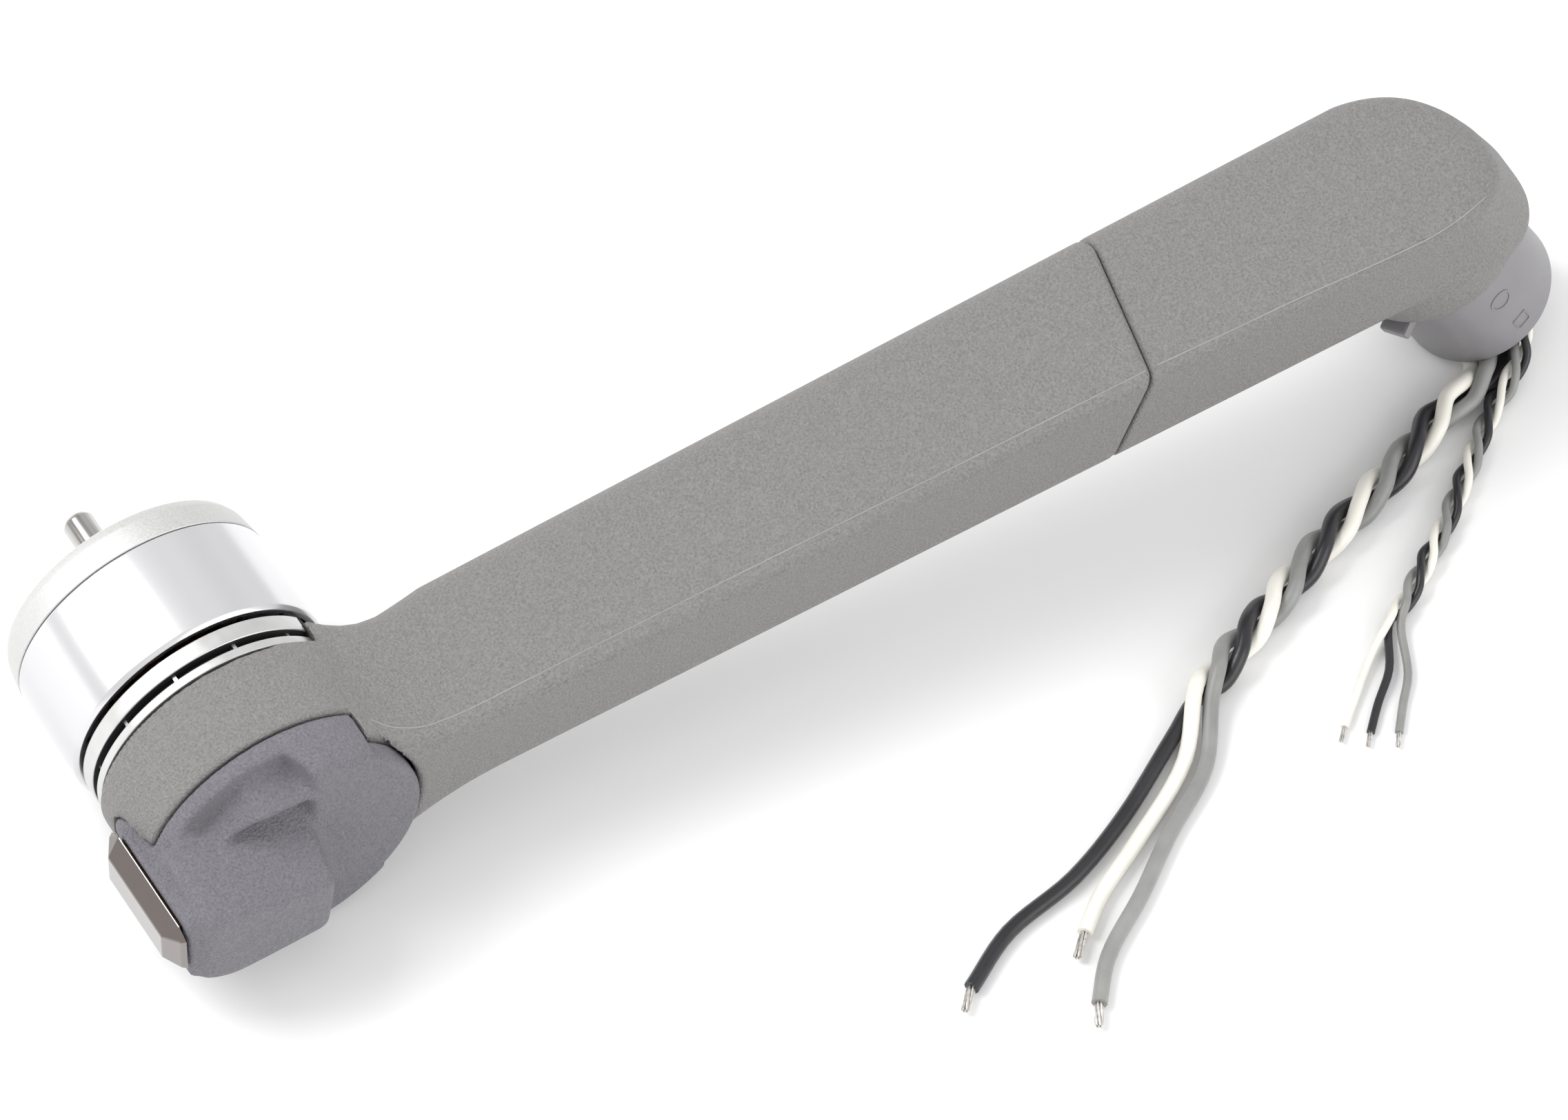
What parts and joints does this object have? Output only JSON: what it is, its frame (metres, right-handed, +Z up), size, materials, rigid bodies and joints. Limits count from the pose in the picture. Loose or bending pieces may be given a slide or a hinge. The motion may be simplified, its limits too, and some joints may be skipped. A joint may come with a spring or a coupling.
{
  "type": "folding drone motor arm",
  "caption": "Folding motor arm of a small quadcopter: outrunner motor, hollow plastic arm with a tip light, and a slanted hinge barrel with free wires.",
  "frame": {"origin": "centre of the bounding box of the rigid pieces on the bench they lie on", "axes": "+X from the motor towards the hinge, +Y along the motor shaft and out of its cap, +Z up out of the arm's broad face"},
  "size_m": [0.1522, 0.0847, 0.0307],
  "materials": {
    "arm_plastic": "fine pebbled",
    "cover_plastic": "fine pebbled",
    "barrel_plastic": "smooth satin",
    "smoked_lens": "polished, see-through brown",
    "circuit_board": "solder mask",
    "machined_aluminium": "satin machined",
    "polished_can": "polished",
    "magnet": "nickel plated",
    "steel": "satin",
    "stator_steel": "coated laminations",
    "copper_wire": "enamelled copper",
    "nylon": "moulded",
    "black_insulation": "satin silicone",
    "white_insulation": "satin silicone",
    "grey_insulation": "satin silicone",
    "tinned_copper": "tinned"
  },
  "bodies": {
    "barrel": {"hinge_barrel": "barrel_plastic", "detent_cam": "steel", "spring_seat": "steel", "retaining_clip": "steel", "phase_wire_black": "black_insulation", "phase_wire_black_tip": "tinned_copper", "phase_wire_white": "white_insulation", "phase_wire_white_tip": "tinned_copper", "phase_wire_grey": "grey_insulation", "phase_wire_grey_tip": "tinned_copper", "light_wire_black": "black_insulation", "light_wire_black_tip": "tinned_copper", "light_wire_white": "white_insulation", "light_wire_white_tip": "tinned_copper", "light_wire_grey": "grey_insulation", "light_wire_grey_tip": "tinned_copper"},
    "arm": {"arm_shell": "arm_plastic", "root_shell": "arm_plastic", "bottom_cover": "cover_plastic", "led_lens": "smoked_lens", "led_board": "circuit_board", "motor_base": "machined_aluminium", "stator_core": "stator_steel", "stator_windings": "copper_wire", "bearing_upper": "steel", "bearing_lower": "steel", "motor_screw_1": "steel", "motor_screw_2": "steel", "motor_screw_3": "steel", "detent_follower": "nylon", "hinge_spring": "steel", "phase_wire_run": "grey_insulation", "light_wire_run": "white_insulation"},
    "rotor": {"rotor_cap": "machined_aluminium", "rotor_can": "polished_can", "magnet_01": "magnet", "magnet_02": "magnet", "magnet_03": "magnet", "magnet_04": "magnet", "magnet_05": "magnet", "magnet_06": "magnet", "magnet_07": "magnet", "magnet_08": "magnet", "magnet_09": "magnet", "magnet_10": "magnet", "magnet_11": "magnet", "magnet_12": "magnet", "magnet_13": "magnet", "magnet_14": "magnet", "motor_shaft": "steel", "shaft_clip": "steel"}
  },
  "joints": [
    {"name": "arm_fold", "type": "hinge", "parent": "barrel", "child": "arm", "pos_m": [0.06416, -0.0086, 0.01439], "axis": [-0.4426, 0.0691, 0.8941], "range_deg": [0, 150]},
    {"name": "rotor_spin", "type": "hinge", "parent": "arm", "child": "rotor", "pos_m": [-0.06026, 0, 0.013], "axis": [0, 1, 0], "continuous": true}
  ]
}
